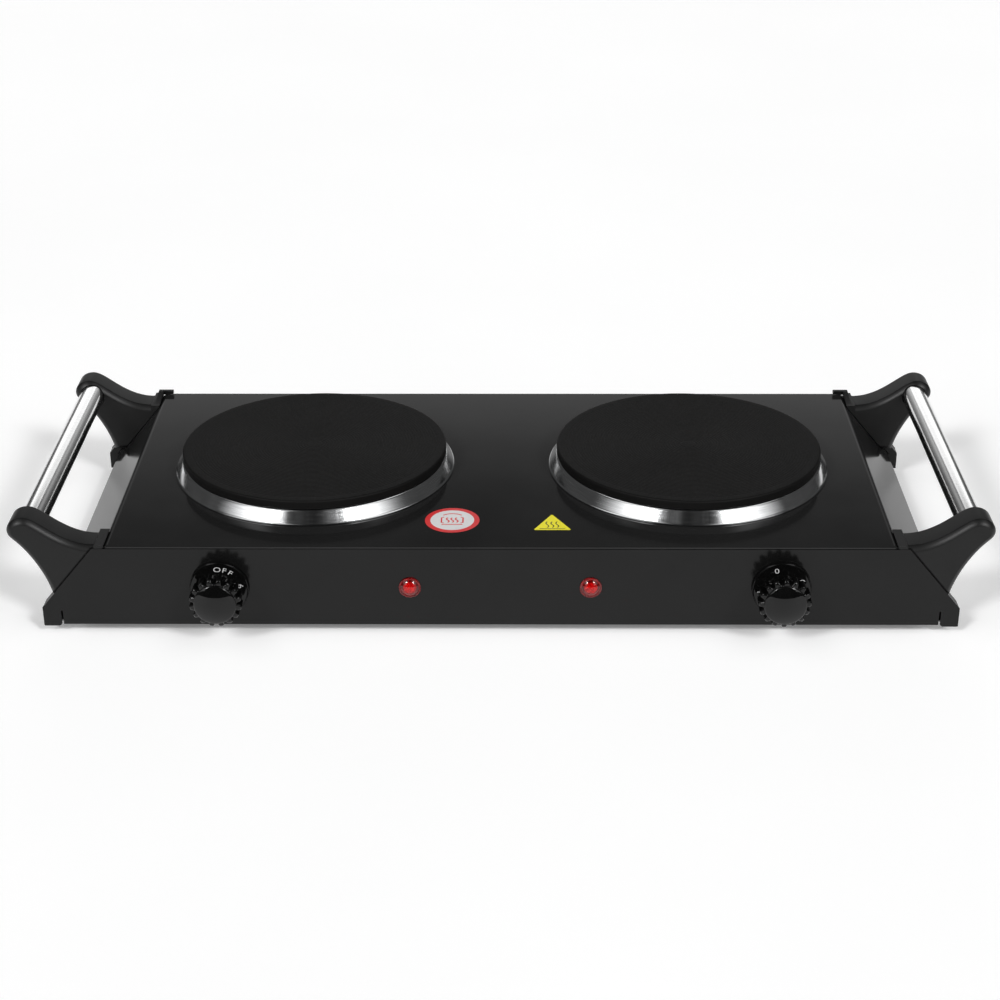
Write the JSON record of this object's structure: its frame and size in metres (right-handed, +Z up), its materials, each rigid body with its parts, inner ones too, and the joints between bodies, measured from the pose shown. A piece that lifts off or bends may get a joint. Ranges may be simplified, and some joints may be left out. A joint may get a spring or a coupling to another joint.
{
  "type": "electric hot plate",
  "caption": "Long table-top electric hot plate with round cast-iron cooking plates, front dial knobs, pilot lamps and tube handles held by end cheeks.",
  "frame": {"origin": "centre of the object's bounding box at the level of the rubber feet's lower faces", "axes": "+X to the user's right along the long side, +Y from the knobs to the back, +Z up"},
  "size_m": [0.644, 0.2956, 0.0839],
  "materials": {
    "black_enamel": "gloss black stoved enamel",
    "black_panel": "satin black powder coat",
    "black_plastic": "satin moulded heat-resistant plastic",
    "knob_plastic": "glossy black moulded phenolic",
    "cast_iron": "matt black heat-proof coating over turned grooves",
    "polished_steel": "polished stainless steel",
    "chromed_tube": "bright chromed steel tube",
    "zinc_steel": "zinc-plated steel",
    "aluminium_sheet": "rolled aluminised sheet",
    "heater_sheath": "heat-tinted element sheath",
    "ceramic": "unglazed steatite",
    "red_lens": "translucent red moulded lens",
    "rubber": "matt black rubber",
    "wire_jacket": "heat-proof glass-fibre sleeving"
  },
  "bodies": {
    "housing": {"top_cover": "black_enamel", "front_panel": "black_panel", "rear_panel": "black_panel", "base_plate": "zinc_steel", "handle_cheek_front_left": "black_plastic", "handle_cheek_rear_left": "black_plastic", "handle_cheek_front_right": "black_plastic", "handle_cheek_rear_right": "black_plastic", "handle_tube_left": "chromed_tube", "handle_tube_right": "chromed_tube", "cheek_screw_front_left": "zinc_steel", "cheek_screw_rear_left": "zinc_steel", "cheek_screw_front_right": "zinc_steel", "cheek_screw_rear_right": "zinc_steel", "hot_plate_left": "cast_iron", "spill_ring_left": "polished_steel", "heating_coil_left": "heater_sheath", "element_cover_left": "aluminium_sheet", "clamp_bracket_left": "zinc_steel", "heat_shield_left": "aluminium_sheet", "centre_stud_left": "zinc_steel", "centre_nut_left": "zinc_steel", "thermostat_left": "ceramic", "lamp_lens_left": "red_lens", "lamp_body_left": "ceramic", "hot_plate_right": "cast_iron", "spill_ring_right": "polished_steel", "heating_coil_right": "heater_sheath", "element_cover_right": "aluminium_sheet", "clamp_bracket_right": "zinc_steel", "heat_shield_right": "aluminium_sheet", "centre_stud_right": "zinc_steel", "centre_nut_right": "zinc_steel", "thermostat_right": "ceramic", "lamp_lens_right": "red_lens", "lamp_body_right": "ceramic", "rubber_foot_front_left": "rubber", "base_screw_front_left": "zinc_steel", "rubber_foot_rear_left": "rubber", "base_screw_rear_left": "zinc_steel", "rubber_foot_front_right": "rubber", "base_screw_front_right": "zinc_steel", "rubber_foot_rear_right": "rubber", "base_screw_rear_right": "zinc_steel", "earth_screw": "zinc_steel", "terminal_block": "ceramic", "cable_gland": "black_plastic", "wire_live_left": "wire_jacket", "wire_neutral_left": "wire_jacket", "wire_switched_left": "wire_jacket", "wire_live_right": "wire_jacket", "wire_neutral_right": "wire_jacket", "wire_switched_right": "wire_jacket", "wire_earth": "wire_jacket"},
    "dial_left": {"knob_left": "knob_plastic", "thermostat_shaft_left": "zinc_steel"},
    "dial_right": {"knob_right": "knob_plastic", "thermostat_shaft_right": "zinc_steel"}
  },
  "joints": [
    {"name": "knob_left_turn", "type": "hinge", "parent": "housing", "child": "dial_left", "pos_m": [-0.1847, -0.11925, 0.035], "axis": [0, 1, 0], "range_deg": [0, 290]},
    {"name": "knob_right_turn", "type": "hinge", "parent": "housing", "child": "dial_right", "pos_m": [0.1847, -0.11925, 0.035], "axis": [0, 1, 0], "range_deg": [0, 290]}
  ]
}
